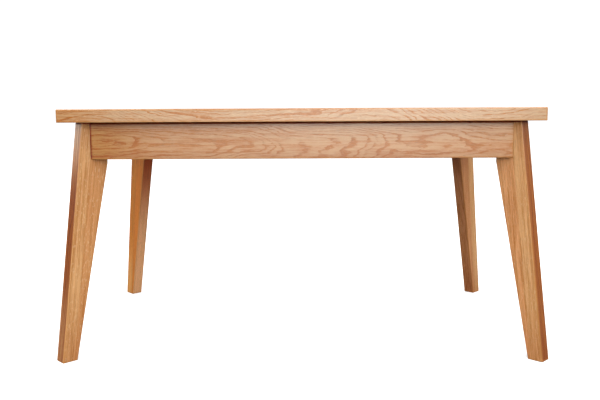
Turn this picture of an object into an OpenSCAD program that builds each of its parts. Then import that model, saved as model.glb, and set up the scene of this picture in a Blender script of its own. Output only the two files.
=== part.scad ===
// Four-legged solid oak table. An apron frame carries a glued-up tabletop on four tapered plank legs
// that stand on the corner diagonals. Each leg is bolted to a corner block between two aprons.
// Millimetres. The origin is on the floor under the middle of the table: +X runs along the length,
// -Y is the front and +Z is up.

/* [Tabletop] */
// Length of the tabletop
top_l = 1400; // [1300:10:1700]
// Depth of the tabletop, front to back
top_w = 800; // [760:10:1000]
// Thickness of the tabletop
top_t = 38; // [30:1:45]
// Height of the top surface above the floor
table_h = 740; // [700:5:780]
// Radius of the eased tabletop edges
edge_r = 3; // [1:0.5:6]

/* [Aprons] */
// Height of the aprons
apron_h = 108; // [104:1:130]
// Thickness of the aprons
apron_t = 22; // [20:1:26]
// How far the outer apron faces are set back from the tabletop's edges
apron_inset = 48; // [30:1:70]
// Gap between a mitred apron end and the face of the leg beside it
apron_gap = 1.5; // [0.2:0.1:2]

/* [Legs] */
// Thickness of the leg planks
leg_t = 41; // [34:1:46]
// Width of a leg at the top, outer to inner edge
leg_top_w = 78; // [70:1:90]
// Width of a leg at the floor
leg_foot_w = 46; // [40:1:60]
// How far the outer edge leans out along the diagonal, from top to floor
leg_splay = 91; // [50:1:110]
// Distance of the leg's outer edge inside the corner of the apron planes, at the top
leg_setback = 1.5; // [0:0.5:6]
// Length of the vertical inner edge below the aprons
leg_straight = 12; // [5:1:40]
// Width of the outer of the two glued staves in a leg
leg_stave_w = 36; // [30:1:38]

/* [Corner joints] */
// Thickness of the corner blocks
block_t = 30; // [28:1:34]
// Height of the corner blocks
block_h = 88; // [80:1:90]
// Diameter of the hanger bolts
bolt_d = 8; // [6, 8]
// Length of bolt screwed into the leg
bolt_embed = 38; // [30:1:40]

/* [Cross rails] */
// Distance of each cross rail from the middle of the table
rail_x = 260; // [200:5:300]
// Width of the cross rails
rail_w = 60; // [50:1:80]
// Height of the cross rails
rail_h = 28; // [24:1:36]

/* [Buttons] */
// Length of a button, square to the apron
button_l = 34; // [30:1:45]
// Width of a button, along the apron
button_w = 30; // [24:1:40]
// Thickness of a button under the tabletop
button_t = 20; // [18:1:24]

/* [Hidden] */
$fn = 48;

// Levels above the floor
under_z = table_h - top_t;
apron_z = under_z - apron_h;
knee_z = apron_z - leg_straight;

// Tabletop staves
stave_count = 8;
stave_w = top_w / stave_count;

// Corner where the outer planes of two aprons meet, and the four corners as signs of X and Y
corner_x = top_l / 2 - apron_inset;
corner_y = top_w / 2 - apron_inset;
FRONT_LEFT = [-1, -1];
FRONT_RIGHT = [1, -1];
BACK_LEFT = [-1, 1];
BACK_RIGHT = [1, 1];
CORNERS = [FRONT_LEFT, FRONT_RIGHT, BACK_LEFT, BACK_RIGHT];

// Leg outline, measured along the diagonal from the corner, positive outwards
leg_out_top = -leg_setback;
leg_in_top = leg_out_top - leg_top_w;
leg_out_foot = leg_out_top + leg_splay;
leg_in_foot = leg_out_foot - leg_foot_w;
leg_seam = leg_stave_w / cos(atan(leg_splay / under_z));

// Set-back of the mitred apron ends from the corner
mitre = (leg_t / 2 + apron_gap) * sqrt(2);

// Corner block: it fills the triangle between the aprons behind the leg
block_z = under_z - block_h - 12;
block_out = leg_in_top;
block_in = block_out - block_t;
bolt_zs = [block_z + 22, block_z + block_h - 22];

// Hanger bolt, washer and nut
bolt_hole_d = bolt_d + 1;
washer_t = 1.6;
washer_d = 2.4 * bolt_d;
nut_t = 0.8 * bolt_d;
nut_af = bolt_d + 5;
bolt_tip_l = 5;
bolt_end = 3;

// Screws: shank, head and the holes around them
screw_d = 5;
screw_head_d = 9.4;
screw_head_t = 3;
screw_tip_l = 5;
screw_clear_d = 5.6;
pocket_d = 10.4;

// Screws from the corner blocks into the aprons, placed from the corner along each apron
block_screw_a = 108;
block_screw_seat = 41;
block_screw_l = 36;
block_screw_zs = [block_z + 12, block_z + block_h - 12];

// Cross rails: stub tenons into the long aprons, and slotted screws into the tabletop
tenon_l = 10;
tenon_w = 40;
tenon_t = 14;
rail_len = 2 * (corner_y - apron_t);
rail_slot = 12;
rail_pocket = 8;
rail_screw_l = rail_h - rail_pocket + 18;
rail_screw_ys = [-2.5 * stave_w, -0.5 * stave_w, 0.5 * stave_w, 2.5 * stave_w];

// Buttons: a tongue in a short mortise in the apron, and one screw up into the tabletop
tongue_l = 9;
tongue_t = 7;
button_drop = 12;
mortise_l = button_w + 10;
mortise_t = tongue_t + 1;
mortise_d = tongue_l + 1;
button_gap = 1;
button_screw_l = button_t + 15;
long_button_xs = [-400, -120, 120, 400];
end_button_ys = [-1.5 * stave_w, 1.5 * stave_w];

top_colour = [0.83, 0.64, 0.44];
apron_colour = [0.79, 0.57, 0.38];
outer_stave_colour = [0.82, 0.62, 0.41];
inner_stave_colour = [0.78, 0.54, 0.34];
inside_wood_colour = [0.76, 0.58, 0.40];
steel_colour = [0.72, 0.72, 0.70];

// ---- Placing ----

// Moves children to a corner, with +X outwards along the diagonal
module at_corner(corner) {
    translate([corner[0] * corner_x, corner[1] * corner_y, 0])
        rotate([0, 0, atan2(corner[1], corner[0])]) children();
}

// Inside a corner, turns children to face each apron: +X is the apron's outward normal and
// the side's own sign times +Y runs along the apron towards the middle of the table
module at_each_apron() {
    for (side = [-1, 1]) rotate([0, 0, 45 * side]) translate([0, side * block_screw_a, 0]) children();
}

// Moves children to every button, with +X square into the apron and the origin on its inner face
module at_buttons() {
    for (end = [-1, 1]) {
        for (x = long_button_xs)
            translate([x, end * (corner_y - apron_t), 0]) rotate([0, 0, end * 90]) children();
        for (y = end_button_ys)
            translate([end * (corner_x - apron_t), y, 0]) rotate([0, 0, 90 - end * 90]) children();
    }
}

// Moves children to every screw that comes up through a cross rail
module at_rail_screws() {
    for (x = [-rail_x, rail_x], y = rail_screw_ys) translate([x, y, 0]) children();
}

// ---- Screws ----

// A screw along +Z with its head's bearing face at the origin
module screw(length) {
    translate([0, 0, -screw_head_t]) cylinder(d = screw_head_d, h = screw_head_t);
    cylinder(d = screw_d, h = length - screw_tip_l);
    translate([0, 0, length - screw_tip_l]) cylinder(d1 = screw_d, d2 = 1, h = screw_tip_l);
}

// The hole that a screw of this length cuts for itself
module screw_hole(length) {
    cylinder(d = screw_d, h = length);
}

// ---- Tabletop ----

// A rectangle with rounded corners, centred
module rounded_rectangle(size, r) {
    square([size[0] - 2 * r, size[1]], center = true);
    square([size[0], size[1] - 2 * r], center = true);
    for (x = [-1, 1], y = [-1, 1])
        translate([x * (size[0] / 2 - r), y * (size[1] / 2 - r)]) circle(r = r);
}

// The whole tabletop with every outer edge eased
module tabletop_blank() {
    translate([0, 0, under_z + top_t / 2]) intersection() {
        linear_extrude(top_t, center = true) rounded_rectangle([top_l, top_w], edge_r);
        rotate([90, 0, 0]) linear_extrude(top_w, center = true) rounded_rectangle([top_l, top_t], edge_r);
        rotate([90, 0, 90]) linear_extrude(top_l, center = true) rounded_rectangle([top_w, top_t], edge_r);
    }
}

// Stave n of the tabletop, counted from the front
module tabletop_stave(n) {
    color(top_colour) difference() {
        intersection() {
            tabletop_blank();
            translate([-top_l / 2 - 1, -top_w / 2 + (n - 1) * stave_w, under_z - 1])
                cube([top_l + 2, stave_w, top_t + 2]);
        }
        at_buttons() translate([-button_l / 2 - button_gap, 0, under_z - button_t]) screw_hole(button_screw_l);
        at_rail_screws() translate([0, 0, under_z - rail_h + rail_pocket]) screw_hole(rail_screw_l);
    }
}

// ---- Aprons ----

// Plan of an apron whose outer face is at y = 0, with the mitred ends a half length from the middle
module apron_plan(half) {
    polygon([
        [-half, 0], [half, 0],
        [half - apron_t, -apron_t], [-(half - apron_t), -apron_t]
    ]);
}

// Every hole in the apron frame: button mortises, block screws and the cross rails' tenons
module apron_holes() {
    at_buttons()
        translate([0, -mortise_l / 2, under_z - button_drop - mortise_t])
            cube([mortise_d, mortise_l, mortise_t]);
    for (corner = CORNERS) at_corner(corner) at_each_apron() for (z = block_screw_zs)
        translate([-block_screw_seat, 0, z]) rotate([0, 90, 0]) screw_hole(block_screw_l);
    for (x = [-rail_x, rail_x])
        translate([x, 0, under_z - rail_h / 2])
            cube([tenon_w, rail_len + 2 * tenon_l, tenon_t], center = true);
}

// An apron along the length, at the front (-1) or the back (1)
module long_apron(side) {
    color(apron_colour) difference() {
        translate([0, side * corner_y, apron_z]) rotate([0, 0, side < 0 ? 180 : 0])
            linear_extrude(apron_h) apron_plan(corner_x - mitre);
        apron_holes();
    }
}

// An apron across an end of the table, at the left (-1) or the right (1)
module end_apron(side) {
    color(apron_colour) difference() {
        translate([side * corner_x, 0, apron_z]) rotate([0, 0, side < 0 ? 90 : -90])
            linear_extrude(apron_h) apron_plan(corner_y - mitre);
        apron_holes();
    }
}

// ---- Legs ----

// A plank that stands on the diagonal, from its outline of [along the diagonal, height] points
module diagonal_plank(outline) {
    rotate([90, 0, 0]) linear_extrude(leg_t, center = true) polygon(outline);
}

module leg_outer_stave(corner) {
    color(outer_stave_colour) at_corner(corner) diagonal_plank([
        [leg_out_top, under_z], [leg_out_foot, 0],
        [leg_out_foot - leg_seam, 0], [leg_out_top - leg_seam, under_z]
    ]);
}

module leg_inner_stave(corner) {
    color(inner_stave_colour) at_corner(corner) difference() {
        diagonal_plank([
            [leg_out_top - leg_seam, under_z], [leg_out_foot - leg_seam, 0],
            [leg_in_foot, 0], [leg_in_top, knee_z], [leg_in_top, under_z]
        ]);
        for (z = bolt_zs)
            translate([leg_in_top, 0, z]) rotate([0, 90, 0]) cylinder(d = bolt_d, h = bolt_embed);
    }
}

// ---- Corner joints ----

// Half width of the space between the aprons at this place on the diagonal
function between_aprons(along) = -along - apron_t * sqrt(2);

module corner_block(corner) {
    color(inside_wood_colour) at_corner(corner) difference() {
        translate([0, 0, block_z]) linear_extrude(block_h) polygon([
            [block_out, between_aprons(block_out)], [block_in, between_aprons(block_in)],
            [block_in, -between_aprons(block_in)], [block_out, -between_aprons(block_out)]
        ]);
        for (z = bolt_zs)
            translate([block_in - 1, 0, z]) rotate([0, 90, 0]) cylinder(d = bolt_hole_d, h = block_t + 2);
        at_each_apron() for (z = block_screw_zs) translate([-block_screw_seat, 0, z]) {
            rotate([0, -90, 0]) cylinder(d = pocket_d, h = block_t);
            rotate([0, 90, 0]) cylinder(d = screw_clear_d, h = block_screw_seat);
        }
    }
}

module block_screws() {
    color(steel_colour) for (corner = CORNERS) at_corner(corner) at_each_apron() for (z = block_screw_zs)
        translate([-block_screw_seat, 0, z]) rotate([0, 90, 0]) screw(block_screw_l);
}

// Places children at each hanger bolt, with +Z outwards from the block's inner face into the leg
module at_hanger_bolts() {
    for (corner = CORNERS) at_corner(corner) for (z = bolt_zs)
        translate([block_in, 0, z]) rotate([0, 90, 0]) children();
}

module hanger_bolts() {
    back = washer_t + nut_t + bolt_end;
    straight = back + block_t + bolt_embed - bolt_tip_l;
    color(steel_colour) at_hanger_bolts() translate([0, 0, -back]) {
        cylinder(d = bolt_d, h = straight);
        translate([0, 0, straight]) cylinder(d1 = bolt_d, d2 = 1.5, h = bolt_tip_l);
    }
}

module washers() {
    color(steel_colour) at_hanger_bolts() translate([0, 0, -washer_t]) difference() {
        cylinder(d = washer_d, h = washer_t);
        translate([0, 0, -1]) cylinder(d = bolt_d + 0.4, h = washer_t + 2);
    }
}

module hex_nuts() {
    color(steel_colour) at_hanger_bolts() translate([0, 0, -washer_t - nut_t]) difference() {
        cylinder(d = nut_af / cos(30), h = nut_t, $fn = 6);
        translate([0, 0, -1]) cylinder(d = bolt_d, h = nut_t + 2);
    }
}

// ---- Cross rails ----

module cross_rail(side) {
    color(inside_wood_colour) difference() {
        translate([side * rail_x, 0, under_z - rail_h / 2]) {
            cube([rail_w, rail_len, rail_h], center = true);
            cube([tenon_w, rail_len + 2 * tenon_l, tenon_t], center = true);
        }
        at_rail_screws() translate([0, 0, under_z - rail_h]) {
            slot(pocket_d, rail_slot, rail_pocket);
            slot(screw_clear_d, rail_slot - pocket_d + screw_clear_d, rail_h + 1);
        }
    }
}

// A round-ended slot along Y, cut upwards from just below the origin
module slot(width, length, depth) {
    reach = (length - width) / 2;
    translate([0, 0, -1]) {
        for (y = [-reach, reach]) translate([0, y, 0]) cylinder(d = width, h = depth + 1);
        translate([-width / 2, -reach, 0]) cube([width, 2 * reach, depth + 1]);
    }
}

module rail_screws() {
    color(steel_colour) at_rail_screws()
        translate([0, 0, under_z - rail_h + rail_pocket]) screw(rail_screw_l);
}

// ---- Buttons ----

module top_buttons() {
    color(inside_wood_colour) at_buttons() difference() {
        union() {
            translate([-button_l - button_gap, -button_w / 2, under_z - button_t])
                cube([button_l, button_w, button_t]);
            translate([-button_gap - 1, -button_w / 2, under_z - button_drop - tongue_t])
                cube([tongue_l + button_gap + 1, button_w, tongue_t]);
        }
        translate([-button_l / 2 - button_gap, 0, under_z - button_t - 1])
            cylinder(d = screw_d, h = button_t + 2);
    }
}

module button_screws() {
    color(steel_colour) at_buttons()
        translate([-button_l / 2 - button_gap, 0, under_z - button_t]) screw(button_screw_l);
}

tabletop_stave(1);  // tabletop_stave_1
tabletop_stave(2);  // tabletop_stave_2
tabletop_stave(3);  // tabletop_stave_3
tabletop_stave(4);  // tabletop_stave_4
tabletop_stave(5);  // tabletop_stave_5
tabletop_stave(6);  // tabletop_stave_6
tabletop_stave(7);  // tabletop_stave_7
tabletop_stave(8);  // tabletop_stave_8
long_apron(-1);  // front_apron
long_apron(1);  // back_apron
end_apron(-1);  // left_apron
end_apron(1);  // right_apron
leg_outer_stave(FRONT_LEFT);  // leg_front_left_outer_stave
leg_inner_stave(FRONT_LEFT);  // leg_front_left_inner_stave
leg_outer_stave(FRONT_RIGHT);  // leg_front_right_outer_stave
leg_inner_stave(FRONT_RIGHT);  // leg_front_right_inner_stave
leg_outer_stave(BACK_LEFT);  // leg_back_left_outer_stave
leg_inner_stave(BACK_LEFT);  // leg_back_left_inner_stave
leg_outer_stave(BACK_RIGHT);  // leg_back_right_outer_stave
leg_inner_stave(BACK_RIGHT);  // leg_back_right_inner_stave
corner_block(FRONT_LEFT);  // corner_block_front_left
corner_block(FRONT_RIGHT);  // corner_block_front_right
corner_block(BACK_LEFT);  // corner_block_back_left
corner_block(BACK_RIGHT);  // corner_block_back_right
cross_rail(-1);  // cross_rail_left
cross_rail(1);  // cross_rail_right
top_buttons();
button_screws();
rail_screws();
block_screws();
hanger_bolts();
washers();
hex_nuts();
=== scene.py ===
"""The looks of a solid oak table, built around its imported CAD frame.

Every visible piece of wood is a new mesh on its CAD node's own outline, with eased edges and a
procedural oak: growth rings round a pith, so that the faces, edges and ends of a board agree.
Metres, +X along the table, -Y the front, +Z up.
"""
import math

import bmesh
import bpy
from mathutils import Matrix, Vector
from mathutils.geometry import convex_hull_2d


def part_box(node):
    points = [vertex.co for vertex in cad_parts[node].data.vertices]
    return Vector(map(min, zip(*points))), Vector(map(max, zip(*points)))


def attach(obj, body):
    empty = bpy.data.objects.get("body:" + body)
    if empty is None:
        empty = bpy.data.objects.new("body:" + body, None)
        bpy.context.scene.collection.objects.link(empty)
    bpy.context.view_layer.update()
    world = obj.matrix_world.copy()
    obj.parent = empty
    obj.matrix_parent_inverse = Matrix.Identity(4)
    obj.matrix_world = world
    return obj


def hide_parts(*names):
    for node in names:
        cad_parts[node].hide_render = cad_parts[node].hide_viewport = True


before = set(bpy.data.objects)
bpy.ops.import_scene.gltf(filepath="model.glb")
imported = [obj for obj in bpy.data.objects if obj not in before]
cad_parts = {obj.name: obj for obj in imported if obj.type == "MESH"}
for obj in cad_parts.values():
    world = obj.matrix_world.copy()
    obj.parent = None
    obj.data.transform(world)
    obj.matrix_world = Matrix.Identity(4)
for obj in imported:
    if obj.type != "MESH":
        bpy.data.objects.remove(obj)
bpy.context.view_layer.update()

BODY = "root"
X, Y, Z = Vector((1, 0, 0)), Vector((0, 1, 0)), Vector((0, 0, 1))


# ---------------------------------------------------------------- camera, floor and light

SENSOR_WIDTH = 36.0    # millimetres, as is the lens
LENS = 40.46
EYE = (0.0077, -2.331, 0.708)          # metres
LOOK_DOWN = 0.1188     # the camera's turns, in radians
LOOK_LEFT = 0.0063
TILT = -0.0048
FLOOR_RADIUS = 80.0
FLOOR_WHITE = (0.955, 0.97)            # the darkest and the palest parts of the floor, as seen
FLOOR_BOUNCE = 0.08    # how much of its light the floor gives back to the table
FLOOR_GLOW = 0.26      # how much the floor is lit from below, as a light table is
BACK_LIGHT = 0.18      # the studio's brightness behind the table
FRONT_LIGHT = 0.46     # and how much brighter it is in front
TOP_LIGHT = 0.30       # and above
BACKDROP = 1.1         # and its brightness to the camera


def add(name, data):
    """A new object in the scene."""
    made = bpy.data.objects.new(name, data)
    bpy.context.scene.collection.objects.link(made)
    return made


def make_camera():
    """From in front, a little below the table's top and looking slightly down, with the small tilt of
    a hand-held shot."""
    data = bpy.data.cameras.new("camera")
    data.sensor_width = SENSOR_WIDTH
    data.lens = LENS
    camera = add("camera", data)
    yaw = Matrix.Rotation(LOOK_LEFT, 4, "Z")
    pitch = Matrix.Rotation(math.radians(90) - LOOK_DOWN, 4, "X")
    roll = Matrix.Rotation(TILT, 4, "Z")
    camera.matrix_world = Matrix.Translation(EYE) @ yaw @ pitch @ roll
    bpy.context.scene.camera = camera


def make_floor():
    """A wide pale floor, slightly uneven in tone."""
    mesh = bpy.data.meshes.new("floor")
    bm = bmesh.new()
    bmesh.ops.create_circle(bm, cap_ends=True, segments=96, radius=FLOOR_RADIUS)
    bm.to_mesh(mesh)
    bm.free()
    floor = add("floor", mesh)
    mesh.materials.append(floor_material())


def floor_material():
    """White as seen, and greyer as a source of bounced light."""
    material, nodes, links, shader = new_material("studio_floor")
    g = Graph(material.node_tree)
    coordinates = nodes.new("ShaderNodeTexCoord")
    patches = g.noise(coordinates.outputs["Object"], (0.8, 0.8, 0.8), detail=2.0)
    white = g.ramp(patches, 0.2, 0.8, *FLOOR_WHITE)
    seen = nodes.new("ShaderNodeLightPath").outputs["Is Camera Ray"]
    tone = g.math("MULTIPLY", white, g.ramp(seen, 0.0, 1.0, FLOOR_BOUNCE, 1.0))
    links.new(tone, shader.inputs["Base Color"])
    links.new(g.math("MULTIPLY", seen, FLOOR_GLOW), shader.inputs["Emission Strength"])
    shader.inputs["Emission Color"].default_value = (1.0, 1.0, 1.0, 1.0)
    shader.inputs["Roughness"].default_value = 0.9
    shader.inputs["Specular IOR Level"].default_value = 0.1
    return material


def make_world():
    """A white studio, whose light comes mostly from above and from the front."""
    world = bpy.data.worlds.new("studio")
    world.use_nodes = True
    tree = world.node_tree
    g = Graph(tree)
    direction = tree.nodes.new("ShaderNodeTexCoord").outputs["Generated"]
    split = tree.nodes.new("ShaderNodeSeparateXYZ")
    tree.links.new(direction, split.inputs[0])
    low = g.ramp(split.outputs["Z"], -0.05, 0.35, 0.35, 1.0)
    front = g.math("MULTIPLY", g.ramp(split.outputs["Y"], 0.35, -0.75), low)
    above = g.ramp(split.outputs["Z"], 0.05, 0.85)
    light = g.math("ADD", BACK_LIGHT, g.math("MULTIPLY", front, FRONT_LIGHT))
    light = g.math("ADD", light, g.math("MULTIPLY", above, TOP_LIGHT))
    seen = tree.nodes.new("ShaderNodeLightPath").outputs["Is Camera Ray"]
    light = g.math("MULTIPLY", light, g.math("SUBTRACT", 1.0, seen))
    light = g.math("ADD", light, g.math("MULTIPLY", seen, BACKDROP))
    background = tree.nodes["Background"]
    background.inputs["Color"].default_value = (1.0, 1.0, 1.0, 1.0)
    tree.links.new(light, background.inputs["Strength"])
    bpy.context.scene.world = world


def area_light(name, place, aim, size, power, colour=(1.0, 1.0, 1.0), spread=180):
    """A softbox. Spread is how wide a cone its grid lets through, in degrees."""
    data = bpy.data.lights.new(name, "AREA")
    data.spread = math.radians(spread)
    data.shape = "RECTANGLE"
    data.size, data.size_y = size
    data.energy = power
    data.color = colour
    light = add(name, data)
    light.location = place
    light.rotation_euler = (Vector(aim) - Vector(place)).to_track_quat("-Z", "Y").to_euler()


def sun_light(name, aim, strength, spread):
    """Even light from far away, with soft shadows."""
    data = bpy.data.lights.new(name, "SUN")
    data.energy = strength
    data.angle = math.radians(spread)
    light = add(name, data)
    light.rotation_euler = Vector(aim).to_track_quat("-Z", "Y").to_euler()


def make_lights():
    """Each softbox has its place, what it is aimed at, its size and its power in watts. The front, catch
    and low ones give the front edge and apron their gloss, and the small card that of the left leg."""
    apron = (0.05, -0.4, 0.65)
    top_edge = (0.05, -0.4, 0.72)
    left_leg = (-0.6, -0.35, 0.65)
    below = (0.0, 0.3, 0.58)
    middle_of_table = (0.0, 0.0, 0.5)
    cool, cooler = (0.98, 0.99, 1.0), (0.84, 0.95, 1.0)
    warm, straw = (1.0, 0.93, 0.84), (1.0, 1.0, 0.92)
    area_light("front_softbox", (1.2, -5.6, 2.5), apron, (2.3, 2.2), 38, cool, spread=100)
    area_light("catch_light", (0.40, -3.5, 1.05), top_edge, (1.6, 0.6), 8, cooler)
    area_light("low_softbox", (0.20, -4.6, 0.75), below, (3.6, 0.7), 7.0, warm, spread=60)
    area_light("side_card", (-3.4, 0.75, 0.95), left_leg, (0.30, 0.30), 1.8, straw)
    for side in (-1, 1):
        area_light("back_softbox", (side * 3.3, 3.3, 4.6), middle_of_table, (2.8, 2.8), 150)
        area_light("side_softbox", (side * 5.2, -1.2, 1.9), middle_of_table, (2.2, 1.8), 38)
    sun_light("overhead", (0.0, 0.25, -1.0), 1.8, 50)


# ---------------------------------------------------------------- shader helpers

def new_material(name):
    material = bpy.data.materials.new(name)
    material.use_nodes = True
    nodes, links = material.node_tree.nodes, material.node_tree.links
    return material, nodes, links, nodes["Principled BSDF"]


class Graph:
    """Short calls for wiring a node tree."""

    def __init__(self, tree):
        self.nodes, self.links = tree.nodes, tree.links

    def put(self, socket, value):
        if isinstance(value, bpy.types.NodeSocket):
            self.links.new(value, socket)
        else:
            socket.default_value = value

    def math(self, operation, a, b=None, clamp=False):
        node = self.nodes.new("ShaderNodeMath")
        node.operation = operation
        node.use_clamp = clamp
        self.put(node.inputs[0], a)
        if b is not None:
            self.put(node.inputs[1], b)
        return node.outputs[0]

    def vector(self, operation, a, b=None):
        node = self.nodes.new("ShaderNodeVectorMath")
        node.operation = operation
        self.put(node.inputs[0], a)
        if b is not None:
            self.put(node.inputs[1], b)
        return node.outputs["Value" if operation in ("DOT_PRODUCT", "LENGTH") else "Vector"]

    def ramp(self, value, low, high, out_low=0.0, out_high=1.0):
        """Smooth step of value from low to high."""
        node = self.nodes.new("ShaderNodeMapRange")
        node.interpolation_type = "SMOOTHSTEP"
        for name, number in zip(("Value", "From Min", "From Max", "To Min", "To Max"),
                                (value, low, high, out_low, out_high)):
            self.put(node.inputs[name], number)
        return node.outputs["Result"]

    def noise(self, vector, scale, detail=2.0, roughness=0.5):
        """Noise on a vector stretched by a scale for each axis, from 0 to 1."""
        node = self.nodes.new("ShaderNodeTexNoise")
        node.inputs["Scale"].default_value = 1.0
        node.inputs["Detail"].default_value = detail
        node.inputs["Roughness"].default_value = roughness
        self.put(node.inputs["Vector"], self.vector("MULTIPLY", vector, scale))
        return node.outputs["Fac"]

    def mix(self, factor, a, b, blend="MIX"):
        node = self.nodes.new("ShaderNodeMix")
        node.data_type = "RGBA"
        node.blend_type = blend
        self.put(node.inputs["Factor"], factor)
        self.put(node.inputs["A"], a)
        self.put(node.inputs["B"], b)
        return node.outputs["Result"]


# ---------------------------------------------------------------- oak

RING = 0.0026          # mean width of a growth ring
RIPPLES = (            # how rings ripple: each noise's scale and detail, and the height of its waves
    ((2.0, 9.0, 9.0), 1.0, 0.022),
    ((9.0, 36.0, 36.0), 1.0, 0.0050),
    ((34.0, 110.0, 110.0), 2.0, 0.0022),
)
GRAIN = {              # noises along the grain: scale, detail, roughness and share in the tone
    "streak": ((1.6, 90.0, 90.0), 2.0, 0.6, 0.65),
    "hatch": ((8.0, 210.0, 210.0), 2.0, 0.7, 1.2),
    "cloud": ((1.8, 12.0, 12.0), 2.0, 0.5, 0.40),
    "fibre": ((26.0, 800.0, 800.0), 1.0, 0.5, 0.35),
}
EARLY_SHARE = 0.80     # and the share of early wood
GROUND = 0.22          # the share of a board's dark colour in its plain wood
RAY = (0.80, 0.54, 0.30, 1.0)
RAY_SHARE = 0.38
PORE = (0.20, 0.075, 0.015, 1.0)
PORE_SHARE = 0.62
LOG_SHIFT = 3.7        # how far apart two seeds are along their log
END_GRAIN = (0.36, 0.19, 0.09, 1.0)    # tints wood that is cut across
RUBBED = (0.53, 0.235, 0.065, 1.0)     # the colour of a worn edge
JOINT_SHADE = (0.52, 0.14, 0.02, 1.0)        # painted shade in the crevice where two boards meet


def pith_distance(g, split, group_in):
    """How far a point is from the pith, which sweeps from side to side as the trunk rises, with the
    ripples of the rings added: waves, tongues and small jags."""
    def sweep(offset):
        where = g.nodes.new("ShaderNodeCombineXYZ")
        g.put(where.inputs["X"], g.math("ADD", split.outputs["X"], offset))
        swing = g.math("SUBTRACT", g.noise(where.outputs[0], (2.4, 1.0, 1.0), detail=1.0), 0.5)
        return g.math("MULTIPLY", swing, group_in["Sweep"])

    across = g.nodes.new("ShaderNodeCombineXYZ")
    g.put(across.inputs["Y"], g.math("ADD", split.outputs["Y"], sweep(0.0)))
    g.put(across.inputs["Z"], g.math("ADD", split.outputs["Z"], sweep(31.7)))
    radius = g.vector("LENGTH", across.outputs[0])
    for scale, detail, height in RIPPLES:
        wave = g.math("SUBTRACT", g.noise(group_in["Log"], scale, detail), 0.5)
        wave = g.math("MULTIPLY", wave, height)
        radius = g.math("ADD", radius, g.math("MULTIPLY", wave, group_in["Figure"]))
    return radius


def growth(g, radius):
    """When in its year the wood at a radius grew, from 0 to 1, and how good that year was."""
    ring = g.math("DIVIDE", radius, RING)
    year = g.nodes.new("ShaderNodeCombineXYZ")
    g.put(year.inputs["X"], ring)
    uneven = g.noise(year.outputs[0], (0.45, 1.0, 1.0), detail=0.0)
    ring = g.math("ADD", ring, g.math("MULTIPLY", uneven, 1.7))
    vigour = g.nodes.new("ShaderNodeTexWhiteNoise")
    vigour.noise_dimensions = "1D"
    g.put(vigour.inputs["W"], g.math("FLOOR", ring))
    return g.math("FRACT", ring), vigour.outputs["Value"]


def rays_of(g, split, radius):
    """Thin ribbons that run outwards from the pith."""
    polar = g.nodes.new("ShaderNodeCombineXYZ")
    angle = g.math("ARCTAN2", split.outputs["Z"], split.outputs["Y"])
    for axis, value in zip("XYZ", (split.outputs["X"], angle, radius)):
        g.put(polar.inputs[axis], value)
    return g.ramp(g.noise(polar.outputs[0], (90.0, 170.0, 60.0), detail=1.0), 0.60, 0.68)


def oak_sockets(tree):
    """What goes into the oak group, and what comes out."""
    for name, kind in (("Log", "NodeSocketVector"), ("Sweep", "NodeSocketFloat"),
                       ("Figure", "NodeSocketFloat"), ("Light", "NodeSocketColor"),
                       ("Dark", "NodeSocketColor"), ("Contrast", "NodeSocketFloat")):
        tree.interface.new_socket(name=name, in_out="INPUT", socket_type=kind)
    for name, kind in (("Color", "NodeSocketColor"), ("Roughness", "NodeSocketFloat"),
                       ("Height", "NodeSocketFloat")):
        tree.interface.new_socket(name=name, in_out="OUTPUT", socket_type=kind)


def oak_group():
    """Oak as a solid texture. Log is a point in the log's own frame: X along the grain, the pith on X,
    and the board on the +Y side of it. Sweep is how far the trunk strays from straight, and Figure how
    much its rings ripple."""
    tree = bpy.data.node_groups.new("oak", "ShaderNodeTree")
    oak_sockets(tree)
    g = Graph(tree)
    group_in = tree.nodes.new("NodeGroupInput").outputs
    group_out = tree.nodes.new("NodeGroupOutput").inputs
    log = group_in["Log"]
    split = tree.nodes.new("ShaderNodeSeparateXYZ")
    g.put(split.inputs[0], log)
    radius = pith_distance(g, split, group_in)
    rays = rays_of(g, split, radius)

    # early wood opens sharply at each ring and fades into late wood
    phase, vigour = growth(g, radius)
    early = g.math("MULTIPLY", g.ramp(phase, 0.0, 0.08), g.ramp(phase, 0.10, 0.50, 1.0, 0.0))
    local = g.noise(log, (5.0, 36.0, 36.0), detail=3.0, roughness=0.7)
    local = g.ramp(local, 0.36, 0.66, 0.15, 1.0)
    strength = g.math("MULTIPLY", local, g.math("ADD", vigour, 0.35))

    # pores are short dark hollows along the grain, most of them in early wood
    pores = g.ramp(g.noise(log, (70.0, 1700.0, 1700.0), detail=0.0), 0.58, 0.70)
    pores = g.math("MULTIPLY", pores, g.math("ADD", g.math("MULTIPLY", early, 0.85), 0.15))

    tone = g.math("MULTIPLY", g.math("MULTIPLY", early, strength), EARLY_SHARE)
    grain = {}
    for name, (scale, detail, roughness, share) in GRAIN.items():
        grain[name] = g.noise(log, scale, detail, roughness)
        tone = g.math("ADD", tone, g.math("MULTIPLY", g.math("SUBTRACT", grain[name], 0.5), share))
    tone = g.math("MULTIPLY", tone, group_in["Contrast"])
    tone = g.math("ADD", tone, GROUND, clamp=True)
    colour = g.mix(tone, group_in["Light"], group_in["Dark"])
    colour = g.mix(g.math("MULTIPLY", rays, RAY_SHARE), colour, RAY)
    colour = g.mix(g.math("MULTIPLY", pores, PORE_SHARE), colour, PORE)
    g.put(group_out["Color"], colour)

    rough = g.math("ADD", 0.42, g.math("MULTIPLY", pores, 0.25))
    rough = g.math("SUBTRACT", rough, g.math("MULTIPLY", rays, 0.06))
    uneven = g.math("MULTIPLY", g.math("SUBTRACT", grain["cloud"], 0.5), 0.12)
    g.put(group_out["Roughness"], g.math("ADD", rough, uneven))

    height = g.math("MULTIPLY", pores, -1.0)
    height = g.math("ADD", height, g.math("MULTIPLY", early, -0.12))
    height = g.math("ADD", height, g.math("MULTIPLY", grain["fibre"], 0.18))
    g.put(group_out["Height"], height)
    return tree


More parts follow.
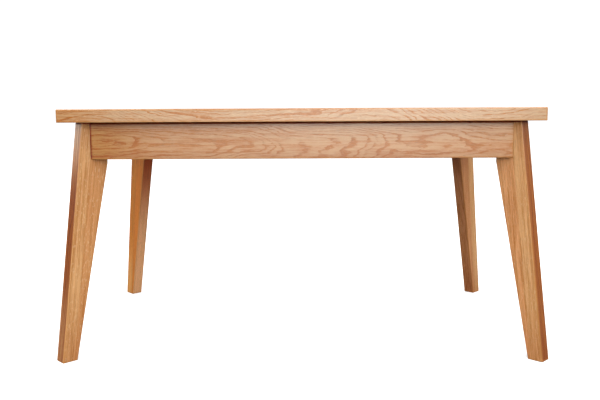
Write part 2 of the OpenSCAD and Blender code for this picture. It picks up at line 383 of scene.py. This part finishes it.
OAK = oak_group()

# the boards' plain wood
CREAM = (0.49, 0.305, 0.165)
WHEAT = (0.54, 0.285, 0.120)
RUSSET = (0.565, 0.312, 0.146)
TAN = (0.64, 0.330, 0.130)
HONEY = (0.68, 0.325, 0.125)
SAND = (0.77, 0.425, 0.183)
ROSE = (0.80, 0.390, 0.165)
AMBER = (0.90, 0.400, 0.100)
BUFF = (1.00, 0.500, 0.245)

# and their grain
LINE = (0.40, 0.130, 0.012)
UMBER = (0.43, 0.122, 0.0)
BROWN = (0.45, 0.155, 0.030)
RUST = (0.45, 0.145, 0.025)

# tints
WHITE = (1.0, 1.0, 1.0)
SHADED = (0.57, 0.35, 0.20)            # close under the tabletop
LOWER_EDGE_SHADE = (0.80, 0.72, 0.64)           # painted shade along the lower edge of an apron
FOOT_SHADE = (0.86, 0.75, 0.68)              # painted shade near the floor, where the light falls off


def log_frame(grain, outwards, centre, depth, seed):
    """The place and turn of the log that a board was sawn from. grain runs along the board, outwards
    from the pith to the board's centre, and depth is how far the pith lies from there. Each seed is
    another stretch of the log."""
    x = Vector(grain).normalized()
    y = Vector(outwards)
    y = (y - x * y.dot(x)).normalized()
    turn = Matrix((x, y, x.cross(y))).transposed()
    return Vector(centre) - y * depth + x * (LOG_SHIFT * seed), turn.to_euler("XYZ")


def oak_material(name, place, turn, light, dark, sweep=0.05, figure=1.0, contrast=1.0, ring_face_shade=WHITE,
                 fade=0.0, painted_shades=()):
    """Oiled oak for one board, cut from the log at this place and turn. The ring-face tint paints shade
    on the faces that lie along the rings, and fade is how much of that painted shade is taken off towards
    the foot and the top, which paints them lighter. Each painted shade is an axis, where on it the
    painted shade starts and where it is full, and its tint. One that ends in "across" is only on faces
    across the rings."""
    material, nodes, links, shader = new_material(name)
    g = Graph(material.node_tree)
    coordinates = nodes.new("ShaderNodeTexCoord")
    mapping = nodes.new("ShaderNodeMapping")
    mapping.vector_type = "TEXTURE"
    mapping.inputs["Location"].default_value = place
    mapping.inputs["Rotation"].default_value = turn
    links.new(coordinates.outputs["Object"], mapping.inputs["Vector"])
    wood = nodes.new("ShaderNodeGroup")
    wood.node_tree = OAK
    links.new(mapping.outputs["Vector"], wood.inputs["Log"])
    wood.inputs["Sweep"].default_value = sweep
    wood.inputs["Figure"].default_value = figure
    wood.inputs["Contrast"].default_value = contrast
    wood.inputs["Light"].default_value = (*light, 1.0)
    wood.inputs["Dark"].default_value = (*dark, 1.0)

    def facing(direction):
        aligned = g.vector("DOT_PRODUCT", coordinates.outputs["Normal"], turn.to_matrix() @ direction)
        return g.math("ABSOLUTE", aligned)

    # end grain drinks more oil and is darker, and the faces along the rings get painted shade
    end = g.ramp(facing(X), 0.25, 0.70)
    colour = g.mix(g.math("MULTIPLY", end, 0.55), wood.outputs["Color"], END_GRAIN, "MULTIPLY")
    split = nodes.new("ShaderNodeSeparateXYZ")
    links.new(coordinates.outputs["Object"], split.inputs[0])
    tint = g.ramp(facing(Y), 0.55, 0.9)
    if fade:
        height = split.outputs["Z"]
        tint = g.math("MULTIPLY", tint, g.ramp(height, 0.0, 0.28, 1.0 - fade, 1.0))
        tint = g.math("MULTIPLY", tint, g.ramp(height, 0.48, 0.68, 1.0, 1.0 - fade))
    colour = g.mix(tint, colour, (*ring_face_shade, 1.0), "MULTIPLY")
    for axis, start, full, shade_tint, *across in painted_shades:
        amount = g.ramp(split.outputs[axis], start, full)
        if across:
            amount = g.math("MULTIPLY", amount, g.math("SUBTRACT", 1.0, tint))
        colour = g.mix(amount, colour, (*shade_tint, 1.0), "MULTIPLY")

    # edges are handled smooth, and the crevices at joints get a line of painted shade
    edge = nodes.new("ShaderNodeAttribute")
    edge.attribute_name = "edge"
    rubbed = g.math("MAXIMUM", edge.outputs["Fac"], 0.0)
    crevice_shade = g.ramp(edge.outputs["Fac"], 0.0, -0.75)
    colour = g.mix(g.math("MULTIPLY", rubbed, 0.65), colour, RUBBED)
    colour = g.mix(crevice_shade, colour, JOINT_SHADE, "MULTIPLY")
    links.new(colour, shader.inputs["Base Color"])
    rough = g.math("SUBTRACT", wood.outputs["Roughness"], g.math("MULTIPLY", rubbed, 0.08))
    rough = g.math("ADD", rough, g.math("MULTIPLY", end, 0.12))
    links.new(rough, shader.inputs["Roughness"])
    bump = nodes.new("ShaderNodeBump")
    bump.inputs["Strength"].default_value = 0.5
    bump.inputs["Distance"].default_value = 0.0003
    links.new(wood.outputs["Height"], bump.inputs["Height"])
    links.new(bump.outputs["Normal"], shader.inputs["Normal"])
    shader.inputs["IOR"].default_value = 1.47
    shader.inputs["Specular IOR Level"].default_value = 0.25
    shader.inputs["Coat Weight"].default_value = 0.8
    shader.inputs["Coat Roughness"].default_value = 0.26
    return material


# ---------------------------------------------------------------- boards

EDGE_BAND = 0.007      # how far the burnished look of an edge, and the painted shade at a joint, reach into a face
GLUE_LINE = 0.0002     # the trace of rounding left at a glued seam
GLUED_EDGE = 0.15      # how rubbed such a seam looks, on the edge attribute's scale
TOP_EDGE = 0.003       # how much the edges are rounded: the tabletop's, the aprons' and the legs'
APRON_EDGE = 0.006
LEG_EDGE = 0.002
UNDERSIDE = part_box("tabletop_stave_1")[0].z


def middle(points):
    return Vector(((min(p[i] for p in points) + max(p[i] for p in points)) / 2 for i in range(3)))


def reach(points, axis):
    """The least and the greatest distance of points along an axis."""
    along = [p.dot(axis) for p in points]
    return min(along), max(along)


def extent(points, axis):
    low, high = reach(points, axis)
    return high - low


def diagonal(place):
    """The level way out to the table's corner nearest to a place."""
    return Vector((math.copysign(1, place.x), math.copysign(1, place.y), 0)).normalized()


def corners_of(node, u, v):
    """The outline of a node seen square to u and v, as (u, v) corners in order."""
    seen = [Vector((p.co.dot(u), p.co.dot(v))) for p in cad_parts[node].data.vertices]
    ring = [seen[i] for i in convex_hull_2d(seen)]
    spaced = [p for i, p in enumerate(ring) if (p - ring[i - 1]).length > 0.0005]
    kept = []
    for i, p in enumerate(spaced):
        before = p - spaced[i - 1]
        after = spaced[(i + 1) % len(spaced)] - p
        if abs(before.angle_signed(after)) > math.radians(1):
            kept.append(p)
    return kept


def prism(outline, u, v, near, far):
    """A closed prism on an outline of (u, v) corners, from near to far along u x v."""
    w = u.cross(v)
    bm = bmesh.new()
    ends = [[bm.verts.new(u * p[0] + v * p[1] + w * far_off) for p in outline] for far_off in (near, far)]
    bm.faces.new(ends[0])
    bm.faces.new(ends[1])
    for i in range(len(outline)):
        j = (i + 1) % len(outline)
        bm.faces.new((ends[0][i], ends[0][j], ends[1][j], ends[1][i]))
    bmesh.ops.recalc_face_normals(bm, faces=bm.faces)
    return bm


def finish_board(bm, name, node, material, ease, glued=(), under=1.0, joints=(), side=1.0):
    """Turns a prism into a board: a narrow band round each face, eased edges, and the edge attribute
    that the oak reads. Edges of a face whose normal is in glued stay all but sharp. Those round the
    underside and at the sides are eased by a share of the rest. The edge attribute is 1 on a rubbed
    edge, and -1 for painted shade in the crevice where the board meets another one, at its faces that
    point along the joints listed."""
    planes = [(f.calc_center_median(), f.normal.copy()) for f in bm.faces]
    for point, normal in planes:
        bmesh.ops.bisect_plane(
            bm, geom=bm.verts[:] + bm.edges[:] + bm.faces[:], dist=1e-6,
            plane_co=point - normal * EDGE_BAND, plane_no=normal,
        )
    bm.normal_update()
    weight = bm.edges.layers.float.new("bevel_weight_edge")
    wear_and_shade = bm.verts.layers.float.new("edge")
    for e in bm.edges:
        normals = [f.normal for f in e.link_faces]
        if len(normals) == 2 and normals[0].angle(normals[1]) > math.radians(5):
            hidden = any(n.dot(g) > 0.99 for n in normals for g in glued)
            share = side
            if any(n.z > 0.9 for n in normals):
                share = 1.0
            elif any(n.z < -0.9 for n in normals):
                share = under
            e[weight] = GLUE_LINE / ease if hidden else share
            level = GLUED_EDGE if hidden else 1.0
            # a face along a joint gets painted shade in its crevice instead of a rubbed edge
            if any(n.dot(j) > 0.6 for n in normals for j in joints):
                level = -1.0
            for vertex in e.verts:
                vertex[wear_and_shade] = -1.0 if min(level, vertex[wear_and_shade]) < 0 else max(level, vertex[wear_and_shade])
    mesh = bpy.data.meshes.new(name)
    bm.to_mesh(mesh)
    bm.free()
    for polygon in mesh.polygons:
        polygon.use_smooth = True
    mesh.materials.append(material)
    piece = add(name, mesh)
    bevel = piece.modifiers.new("eased_edges", "BEVEL")
    bevel.limit_method = "WEIGHT"
    bevel.width = ease
    bevel.segments = 3
    normals = piece.modifiers.new("flat_faces", "WEIGHTED_NORMAL")
    normals.keep_sharp = True
    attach(piece, BODY)
    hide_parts(node)


def box_outline(lo, hi):
    return [(lo.x, lo.y), (hi.x, lo.y), (hi.x, hi.y), (lo.x, hi.y)]


STAVE_TONES = (CREAM, TAN, SAND, HONEY, WHEAT, SAND, HONEY, TAN)       # from the front one to the back
STAVE_LEANS = (0.0, 0.3, -0.15, 0.5, -0.35, 0.1, -0.5, 0.25)           # how askew each one was sawn


def stave_log(i, centre):
    """The log of a stave. The front one has its bark side to the front, which puts a flame figure on
    its edge, and the others have it up and down by turns."""
    if i == 0:
        return log_frame(X + Y * 0.02, -Y + Z * 0.35, centre, 0.14, 18)
    bark = Z if i % 2 else -Z
    lean = STAVE_LEANS[i]
    return log_frame(X + bark * 0.02 + Y * 0.01 * lean, bark + Y * lean, centre, 0.10, i + 41)


def make_tabletop():
    """Eight full-length staves, glued edge to edge, cut from different logs."""
    staves = sorted(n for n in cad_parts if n.startswith("tabletop_stave_"))
    # painted shade on the left end of the front stave's edge, where the sheen of the front lights fades
    left_end_shade = ("X", -0.50, -0.69, (0.97, 0.84, 0.62))
    for i, node in enumerate(staves):
        lo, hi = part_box(node)
        place, turn = stave_log(i, (lo + hi) / 2)
        material = oak_material(
            f"oak_top_{i + 1}", place, turn, STAVE_TONES[i], LINE, contrast=2.1,
            painted_shades=[left_end_shade] if i == 0 else ())
        glued = [g for g, on in ((-Y, i > 0), (Y, i < len(staves) - 1)) if on]
        bm = prism(box_outline(lo, hi), X, Y, lo.z, hi.z)
        finish_board(bm, f"{node}_oak", node, material, TOP_EDGE, glued, under=0.5)


APRON_LOGS = {         # each one's run, the way its outer face looks, its grain's slope and its seed
    "front_apron": (X, -Y, -0.03, 7),
    "back_apron": (X, Y, 0.03, 12),
    "left_apron": (Y, -X, 0.03, 15),
    "right_apron": (Y, X, -0.03, 5),
}


def make_aprons():
    """Four boards with mitred ends, with painted shade under the tabletop and along their lower edges."""
    for name, (along, face, slope, seed) in APRON_LOGS.items():
        lo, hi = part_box(name)
        place, turn = log_frame(along + face * slope, face + Z * 0.15, (lo + hi) / 2, 0.12, seed)
        # painted shade close under the tabletop and along the lower edge
        painted_shades = [("Z", UNDERSIDE - 0.022, UNDERSIDE, SHADED), ("Z", lo.z + 0.040, lo.z, LOWER_EDGE_SHADE)]
        # painted shade on the front apron's left end, where its sheen fades
        if name == "front_apron":
            painted_shades.append(("X", -0.38, -0.60, (0.89, 0.75, 0.36)))
        material = oak_material(
            f"oak_{name}", place, turn, RUSSET, UMBER, sweep=0.035, contrast=2.7, painted_shades=painted_shades)
        bm = prism(corners_of(name, X, Y), X, Y, lo.z, hi.z)
        finish_board(
            bm, f"{name}_oak", name, material, APRON_EDGE, under=0.3,
            joints=(Z, -along), side=0.5)


LEG_LOOKS = {          # each stave's plain wood, its grain and the painted shade on its faces along the rings
    ("front", "left", "outer"): (SAND, BROWN, (0.44, 0.19, 0.0)),
    ("front", "left", "inner"): (HONEY, RUST, WHITE),
    ("front", "right", "outer"): (SAND, BROWN, (0.50, 0.27, 0.08)),
    ("front", "right", "inner"): (ROSE, RUST, WHITE),
    ("back", "left", "outer"): (AMBER, BROWN, WHITE),
    # this stave's pale plain wood is partly painted light
    ("back", "left", "inner"): (BUFF, ROSE, (0.78, 0.48, 0.13)),
    ("back", "right", "outer"): (SAND, BROWN, WHITE),
    ("back", "right", "inner"): (ROSE, RUST, (0.66, 0.44, 0.36)),
}


def leg_lean(where):
    """How far a stave's bark side is turned across the leg, next to 1 along the diagonal."""
    # turned across the leg so that its painted shade marked "across" lands on its narrow faces
    if where == ("back", "left", "inner"):
        return 3.0
    return 0.3 if where[0] == "front" else 0.9


def leg_painted_shades(where):
    """A leg has painted shade close under the tabletop and near the floor. The back left one is painted
    darker and redder towards its top instead."""
    if where == ("back", "left", "inner"):
        # painted reddish shade on the narrow faces, growing towards the top, where the apron shades them
        return [("Z", 0.25, 0.60, (0.75, 0.25, 0.10), "across")]
    shaded_from = UNDERSIDE - (0.28 if where == ("back", "right", "inner") else 0.008)
    under_top = ("Z", shaded_from, UNDERSIDE, SHADED)
    if where == ("back", "left", "outer"):
        # painted shade over all but the lowest part of this stave
        return [under_top, ("Z", 0.06, 0.24, (0.88, 0.68, 0.35))]
    return [under_top, ("Z", 0.18, 0.0, FOOT_SHADE)]


def make_legs():
    """Each leg is an outer and an inner stave, glued along a seam parallel to the outer edge."""
    for i, (where, (light, dark, ring_face_shade)) in enumerate(LEG_LOOKS.items()):
        depth, side, stave = where
        node = f"leg_{depth}_{side}_{stave}_stave"
        lo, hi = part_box(node)
        outward = diagonal((lo + hi) / 2)
        across = outward.cross(Z)
        seam = seam_normal(f"leg_{depth}_{side}_outer_stave", outward)
        bark = outward * (1 if stave == "outer" else -1) + across * leg_lean(where)
        place, turn = log_frame(seam.cross(across), bark, (lo + hi) / 2, 0.12, 21 + i)
        # the tint of a leg's faces along the rings is painted shade on faces turned from the light; on
        # the left front outer stave fade takes it off towards the foot and the top, painting them lighter
        material = oak_material(
            f"oak_{node}", place, turn, light, dark, sweep=0.02, figure=0.6,
            contrast=1.2 if (depth, stave) == ("back", "outer") else 1.7, ring_face_shade=ring_face_shade,
            fade=0.6 if where == ("front", "left", "outer") else 0.0, painted_shades=leg_painted_shades(where))
        thickness = reach([p.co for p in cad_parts[node].data.vertices], across)
        bm = prism(corners_of(node, outward, Z), outward, Z, *thickness)
        glued = (-seam if stave == "outer" else seam,)
        finish_board(bm, f"{node}_oak", node, material, LEG_EDGE, glued, joints=(Z,))


def seam_normal(outer_node, outward):
    """The normal of the glue seam in a leg, pointing outwards: square to the outer stave's edges."""
    outline = corners_of(outer_node, outward, Z)
    top = max(outline, key=lambda p: (round(p[1], 4), p[0]))
    foot = min(outline, key=lambda p: (round(p[1], 4), -p[0]))
    edge = outward * (top[0] - foot[0]) + Z * (top[1] - foot[1])
    normal = outward - edge * (outward.dot(edge) / edge.length_squared)
    return normal.normalized()


# ---------------------------------------------------------------- the parts inside

def dress(node, material):
    """Gives a CAD node that stays as it is its material."""
    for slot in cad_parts[node].material_slots:
        slot.material = material


def make_corner_blocks():
    for i, node in enumerate(sorted(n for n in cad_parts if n.startswith("corner_block_"))):
        lo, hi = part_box(node)
        centre = (lo + hi) / 2
        outward = diagonal(centre)
        place, turn = log_frame(outward.cross(Z), outward + Z * 0.4, centre, 0.08, 51 + i)
        dress(node, oak_material(f"oak_{node}", place, turn, HONEY, RUST, figure=0.7))


def make_cross_rails():
    for i, node in enumerate(("cross_rail_left", "cross_rail_right")):
        lo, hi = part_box(node)
        place, turn = log_frame(Y + Z * 0.02, -Z + X * 0.5, (lo + hi) / 2, 0.10, 61 + i)
        dress(node, oak_material(f"oak_{node}", place, turn, TAN, BROWN))


def make_buttons():
    """The buttons share one log, whose pith passes over the middle of the table."""
    centre = (0, 0, 0.69)
    place, turn = log_frame(Y + Z * 0.1, -Z + X * 0.3, centre, 0.09, 71)
    dress("top_buttons", oak_material("oak_top_buttons", place, turn, HONEY, RUST, figure=0.7))


# ---------------------------------------------------------------- hardware

ROUND_STEPS = 32       # the points round a screw or a washer
HEAD_HEIGHT = 0.003    # of a wood screw
THINNEST_SHANK = 0.0018
SCREW_PITCH = 0.0022
HEAD_DOME = (          # the outline of a screw's head: shares of its radius and of its height
    (0.30, 0.0), (0.62, 0.05), (0.84, 0.18), (0.96, 0.42), (1.0, 0.70), (0.98, 0.94), (0.95, 1.0),
)
RECESS_HALF_WIDTH = 0.00052
NUT_STEPS = 48
NUT_HOLE = 0.0040      # radii
WASHER_HOLE = 0.0042
BOLT_PITCH = 0.00125
BOLT_THREAD = 0.00060  # depth
BOLT_CHAMFER = 0.0008
BOLT_STEPS = 24        # the points round a bolt, and its rows to a turn of the thread
BOLT_ROWS = 7
SHARP = 32             # hardware edges over this many degrees stay sharp


def steel_material():
    """Bright zinc plate: a fine crystalline haze, faint scratches and a little blue and straw tint."""
    material, nodes, links, shader = new_material("zinc_plate")
    g = Graph(material.node_tree)
    place = nodes.new("ShaderNodeTexCoord").outputs["Object"]
    haze = g.noise(place, (260.0, 260.0, 260.0), detail=3.0)
    tint = g.noise(place, (90.0, 90.0, 90.0), detail=1.0)
    scratch = g.ramp(g.noise(place, (2600.0, 160.0, 900.0), detail=1.0), 0.60, 0.72)
    colour = g.mix(g.ramp(tint, 0.35, 0.65), (0.60, 0.63, 0.66, 1.0), (0.68, 0.65, 0.57, 1.0))
    colour = g.mix(g.math("MULTIPLY", haze, 0.30), colour, (0.42, 0.42, 0.42, 1.0))
    links.new(colour, shader.inputs["Base Color"])
    rough = g.math("ADD", g.math("MULTIPLY", haze, 0.22), 0.20)
    rough = g.math("ADD", rough, g.math("MULTIPLY", scratch, 0.15))
    links.new(rough, shader.inputs["Roughness"])
    shader.inputs["Metallic"].default_value = 1.0
    bump = nodes.new("ShaderNodeBump")
    bump.inputs["Strength"].default_value = 0.3
    bump.inputs["Distance"].default_value = 0.00005
    links.new(g.math("SUBTRACT", haze, scratch), bump.inputs["Height"])
    links.new(bump.outputs["Normal"], shader.inputs["Normal"])
    return material


def solids_of(node):
    """The corner points of each separate solid in a CAD node."""
    bm = bmesh.new()
    bm.from_mesh(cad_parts[node].data)
    bmesh.ops.remove_doubles(bm, verts=bm.verts, dist=0.00001)
    left = set(bm.verts)
    groups = []
    while left:
        front = [left.pop()]
        group = []
        while front:
            vertex = front.pop()
            group.append(vertex.co.copy())
            for e in vertex.link_edges:
                other = e.other_vert(vertex)
                if other in left:
                    left.remove(other)
                    front.append(other)
        groups.append(group)
    bm.free()
    return sorted(groups, key=lambda points: tuple(round(c, 3) for c in middle(points)))


def rings(bm, rows, closed=False):
    """Joins rows of points, each a ring, into a skin, capped at both ends or closed on itself."""
    made = [[bm.verts.new(p) for p in row] for row in rows]
    pairs = list(zip(made, made[1:])) + ([(made[-1], made[0])] if closed else [])
    for lower, upper in pairs:
        for i in range(len(lower)):
            j = (i + 1) % len(lower)
            bm.faces.new((lower[i], lower[j], upper[j], upper[i]))
    if not closed:
        bm.faces.new(made[0])
        bm.faces.new(made[-1])


def on_circle(k, steps, radius, z):
    """Point k of the steps round a circle."""
    angle = 2 * math.pi * k / steps
    return Vector((radius * math.cos(angle), radius * math.sin(angle), z))


def circle(radius, z):
    return [on_circle(k, ROUND_STEPS, radius, z) for k in range(ROUND_STEPS)]


def to_mesh(bm, name):
    bmesh.ops.recalc_face_normals(bm, faces=bm.faces)
    mesh = bpy.data.meshes.new(name)
    bm.to_mesh(mesh)
    bm.free()
    return mesh


def screw_mesh(head_radius, radius, length):
    """A pan-head wood screw with a cross recess, from the top of its head at 0 to its tip along +Z. Its
    thread starts below a plain shank, and tapers over the last fifth."""
    bm = bmesh.new()
    rows = [circle(head_radius * r, HEAD_HEIGHT * z) for r, z in HEAD_DOME]
    rows += [circle(radius, HEAD_HEIGHT), circle(radius, length * 0.45)]
    z = length * 0.45
    while z + SCREW_PITCH < length * 0.97:
        thin = 1.0 if z < length * 0.8 else 1.0 - 2.6 * (z / length - 0.8)
        rows.append(circle(radius * 0.72 * thin, z + SCREW_PITCH * 0.30))
        rows.append(circle(radius * thin, z + SCREW_PITCH * 0.65))
        z += SCREW_PITCH
    rows.append(circle(radius * 0.08, length))
    rings(bm, rows)
    return cut_away(to_mesh(bm, "screw"), recess_mesh(head_radius))


def recess_mesh(head_radius):
    """The hollow of a cross recess: two tapered bars across each other."""
    bm = bmesh.new()
    x, y = head_radius * 0.52, RECESS_HALF_WIDTH
    corners = ((x, y), (-x, y), (-x, -y), (x, -y))
    for turn in (0.0, math.pi / 2):
        spin = Matrix.Rotation(turn, 4, "Z")
        mouth = [bm.verts.new(spin @ Vector((u, v, -0.0005))) for u, v in corners]
        deep = [bm.verts.new(spin @ Vector((u * 0.45, v * 0.6, HEAD_HEIGHT * 0.85))) for u, v in corners]
        bm.faces.new(mouth)
        bm.faces.new(deep)
        for i in range(4):
            j = (i + 1) % 4
            bm.faces.new((mouth[i], mouth[j], deep[j], deep[i]))
    return to_mesh(bm, "recess")


def cut_away(mesh, hollow_mesh):
    """The first mesh less the second."""
    body = add("body", mesh)
    hollow = add("hollow", hollow_mesh)
    cut = body.modifiers.new("cut", "BOOLEAN")
    cut.operation = "DIFFERENCE"
    cut.object = hollow
    cut.solver = "EXACT"
    cut.use_self = True
    depsgraph = bpy.context.evaluated_depsgraph_get()
    result = bpy.data.meshes.new_from_object(body.evaluated_get(depsgraph))
    bpy.data.objects.remove(body)
    bpy.data.objects.remove(hollow)
    return result


def nut_mesh(across_flats, height):
    """A hexagon nut from 0 to its height, with its corners turned off at 30 degrees."""
    bm = bmesh.new()
    face = across_flats / 2 * 0.96

    def hexagon(k):
        bearing = (2 * math.pi * k / NUT_STEPS) % (math.pi / 3) - math.pi / 6
        return across_flats / 2 / math.cos(bearing)

    def drop(k):
        return (hexagon(k) - face) * math.tan(math.radians(30))

    def ring(radius_of, z_of):
        return [on_circle(k, NUT_STEPS, radius_of(k), z_of(k)) for k in range(NUT_STEPS)]

    rings(bm, [
        ring(lambda k: NUT_HOLE, lambda k: 0.0),
        ring(lambda k: face, lambda k: 0.0),
        ring(hexagon, drop),
        ring(hexagon, lambda k: height - drop(k)),
        ring(lambda k: face, lambda k: height),
        ring(lambda k: NUT_HOLE, lambda k: height),
    ], closed=True)
    return to_mesh(bm, "nut")


def washer_mesh(radius, height):
    """A stamped washer: one rim rounded by the punch."""
    bm = bmesh.new()
    rings(bm, [
        circle(WASHER_HOLE, 0.0),
        circle(radius - 0.0001, 0.0),
        circle(radius, 0.0001),
        circle(radius, height - 0.0005),
        circle(radius - 0.0002, height - 0.0002),
        circle(radius - 0.0006, height),
        circle(WASHER_HOLE + 0.0002, height),
        circle(WASHER_HOLE, height - 0.0002),
    ], closed=True)
    return to_mesh(bm, "washer")


def thread_mesh(radius, length):
    """A threaded rod from 0 to its length: one helix, with a chamfer at its far end."""
    bm = bmesh.new()
    rows = []
    count = int(length / BOLT_PITCH * BOLT_ROWS)
    for i in range(count + 1):
        z = length * i / count
        row = []
        for k in range(BOLT_STEPS):
            turn = (z / BOLT_PITCH - k / BOLT_STEPS) % 1.0
            crest = 1.0 - abs(2.0 * turn - 1.0)
            r = radius - BOLT_THREAD * min(1.0, 1.25 * (1.0 - crest))
            r = min(r, radius - BOLT_CHAMFER + (length - z))
            row.append(on_circle(k, BOLT_STEPS, r, z))
        rows.append(row)
    rings(bm, rows)
    return to_mesh(bm, "thread")


def set_of(node, mesh, places, material):
    """One piece that holds a copy of a mesh at each place, and stands for a CAD node."""
    name = f"{node}_steel"
    bm = bmesh.new()
    for place in places:
        one = bmesh.new()
        one.from_mesh(mesh)
        one.transform(place)
        copy = bpy.data.meshes.new("copy")
        one.to_mesh(copy)
        one.free()
        bm.from_mesh(copy)
        bpy.data.meshes.remove(copy)
    whole = to_mesh(bm, name)
    for polygon in whole.polygons:
        polygon.use_smooth = True
    whole.set_sharp_from_angle(angle=math.radians(SHARP))
    whole.materials.clear()
    whole.materials.append(material)
    piece = add(name, whole)
    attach(piece, BODY)
    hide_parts(node)


def seated(points, axis, spin):
    """A place at the near end of a solid, whose +Z points along the solid's axis."""
    centre = middle(points)
    start = centre + axis * (reach(points, axis)[0] - centre.dot(axis))
    turn = axis.to_track_quat("Z", "Y").to_matrix().to_4x4()
    return Matrix.Translation(start) @ turn @ Matrix.Rotation(spin, 4, "Z")


def screw_axis(points):
    """The way a screw points: up into the top, or outwards into an apron."""
    spans = [extent(points, axis) for axis in (X, Y, Z)]
    longest = spans.index(max(spans))
    if longest == 2:
        return Z
    outwards = math.copysign(1.0, middle(points)[longest])
    return (X, Y)[longest] * outwards


def shank_radius(points, axis):
    """The radius of a CAD screw beyond its middle, where it has no head."""
    from_middle = [p - middle(points) for p in points]
    thinnest = min((p - axis * p.dot(axis)).length for p in from_middle if p.dot(axis) > 0)
    return max(thinnest, THINNEST_SHANK)


def make_screws(material):
    for node in ("button_screws", "rail_screws", "block_screws"):
        solids = solids_of(node)
        places = [seated(points, screw_axis(points), spin=2.4 * i) for i, points in enumerate(solids)]
        axis = screw_axis(solids[-1])
        head_radius = extent(solids[-1], axis.orthogonal().normalized()) / 2
        mesh = screw_mesh(head_radius, shank_radius(solids[-1], axis), extent(solids[-1], axis))
        set_of(node, mesh, places, material)


def make_bolts(material):
    """Hanger bolts in the legs, and the washers and nuts that pull the legs into the corners."""
    for node in ("hanger_bolts", "washers", "hex_nuts"):
        solids = solids_of(node)
        places = [seated(points, -diagonal(middle(points)), spin=0.7 * i)
                  for i, points in enumerate(solids)]
        inward = -diagonal(middle(solids[-1]))
        length = extent(solids[-1], inward)
        width = extent(solids[-1], inward.cross(Z))
        if node == "hanger_bolts":
            mesh = thread_mesh(width / 2, length)
        elif node == "washers":
            mesh = washer_mesh(width / 2, length)
        else:
            mesh = nut_mesh(min(width, extent(solids[-1], Z)), length)
        set_of(node, mesh, places, material)


make_camera()
make_floor()
make_world()
make_lights()
bpy.context.scene.view_settings.view_transform = "Standard"
make_tabletop()
make_aprons()
make_legs()
make_corner_blocks()
make_cross_rails()
make_buttons()
steel = steel_material()
make_screws(steel)
make_bolts(steel)
